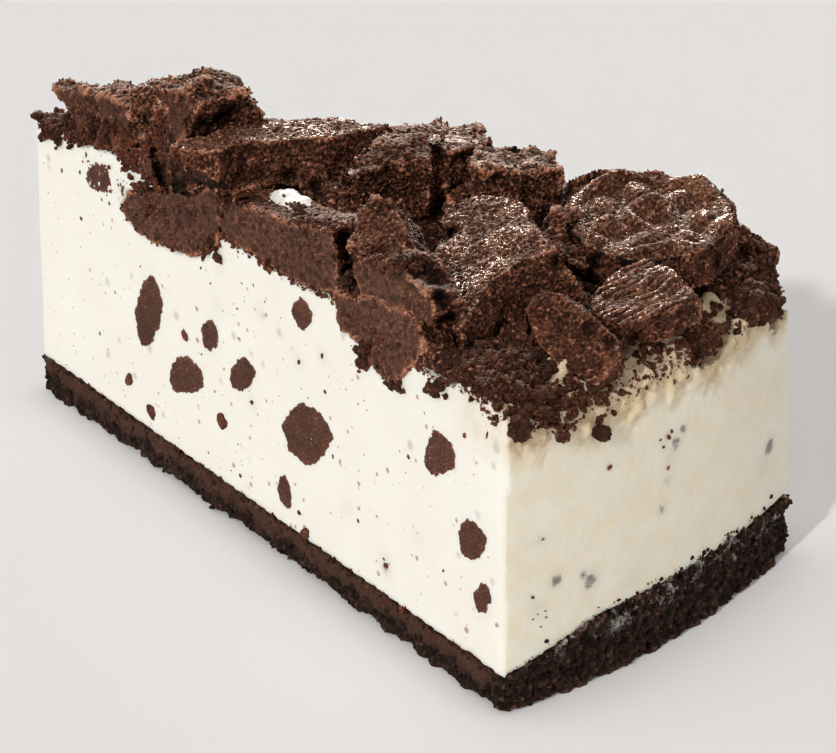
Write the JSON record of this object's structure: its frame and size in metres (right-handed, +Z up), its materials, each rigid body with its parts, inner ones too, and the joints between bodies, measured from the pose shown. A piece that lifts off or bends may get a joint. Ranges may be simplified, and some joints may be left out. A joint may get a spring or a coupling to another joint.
{
  "type": "cheesecake slice",
  "caption": "Wedge-shaped slice of cookies and cream cheesecake: biscuit base, deep cream filling with biscuit bits, topping of crumbs and broken cocoa biscuits.",
  "frame": {"origin": "on the flat underside of the base, on the line of symmetry, 70 mm from the tip", "axes": "+X from the tip to the rim, +Z up, the cut face that the picture shows is on the -Y side"},
  "size_m": [0.1148, 0.0591, 0.0602],
  "materials": {
    "base_biscuit": "pressed dark cocoa biscuit crumb, rough and matt",
    "cream": "set cream cheese filling, smooth where cut, softly shining, translucent",
    "crumb": "loose cocoa biscuit crumb, matt",
    "cocoa_biscuit": "broken cocoa biscuit, open crumb, sparkling a little on its baked faces"
  },
  "bodies": {
    "root": {"back_slab": "cocoa_biscuit", "base": "base_biscuit", "bit_corner": "cocoa_biscuit", "bit_crumbly": "cocoa_biscuit", "bit_foot": "cocoa_biscuit", "bit_largest": "cocoa_biscuit", "bit_long": "cocoa_biscuit", "bit_low": "cocoa_biscuit", "bit_narrow": "cocoa_biscuit", "bit_slim": "cocoa_biscuit", "bit_tall": "cocoa_biscuit", "bit_triangle": "cocoa_biscuit", "bit_upper": "cocoa_biscuit", "corner_lump": "cocoa_biscuit", "crumb_topping": "crumb", "far_bit_largest": "cocoa_biscuit", "far_bit_round": "cocoa_biscuit", "far_bit_slim": "cocoa_biscuit", "far_bit_tall": "cocoa_biscuit", "far_bit_wide": "cocoa_biscuit", "far_flush_left": "cocoa_biscuit", "far_flush_mid": "cocoa_biscuit", "far_flush_right": "cocoa_biscuit", "far_slab": "cocoa_biscuit", "far_wedge": "cocoa_biscuit", "filling": "cream", "flush_bar": "cocoa_biscuit", "half_biscuit": "cocoa_biscuit", "leaning_slab": "cocoa_biscuit", "left_crest": "cocoa_biscuit", "left_foot": "cocoa_biscuit", "long_bar": "cocoa_biscuit", "mid_block": "cocoa_biscuit", "mid_lump": "cocoa_biscuit", "peak_block": "cocoa_biscuit", "peak_foot": "cocoa_biscuit", "rear_block": "cocoa_biscuit", "rear_foot": "cocoa_biscuit", "ridged_piece": "cocoa_biscuit", "rim_chip": "cocoa_biscuit", "side_block": "cocoa_biscuit", "stamped_biscuit": "cocoa_biscuit", "sunk_left": "cocoa_biscuit", "sunk_mid": "cocoa_biscuit", "tip_shard": "cocoa_biscuit"}
  },
  "joints": []
}
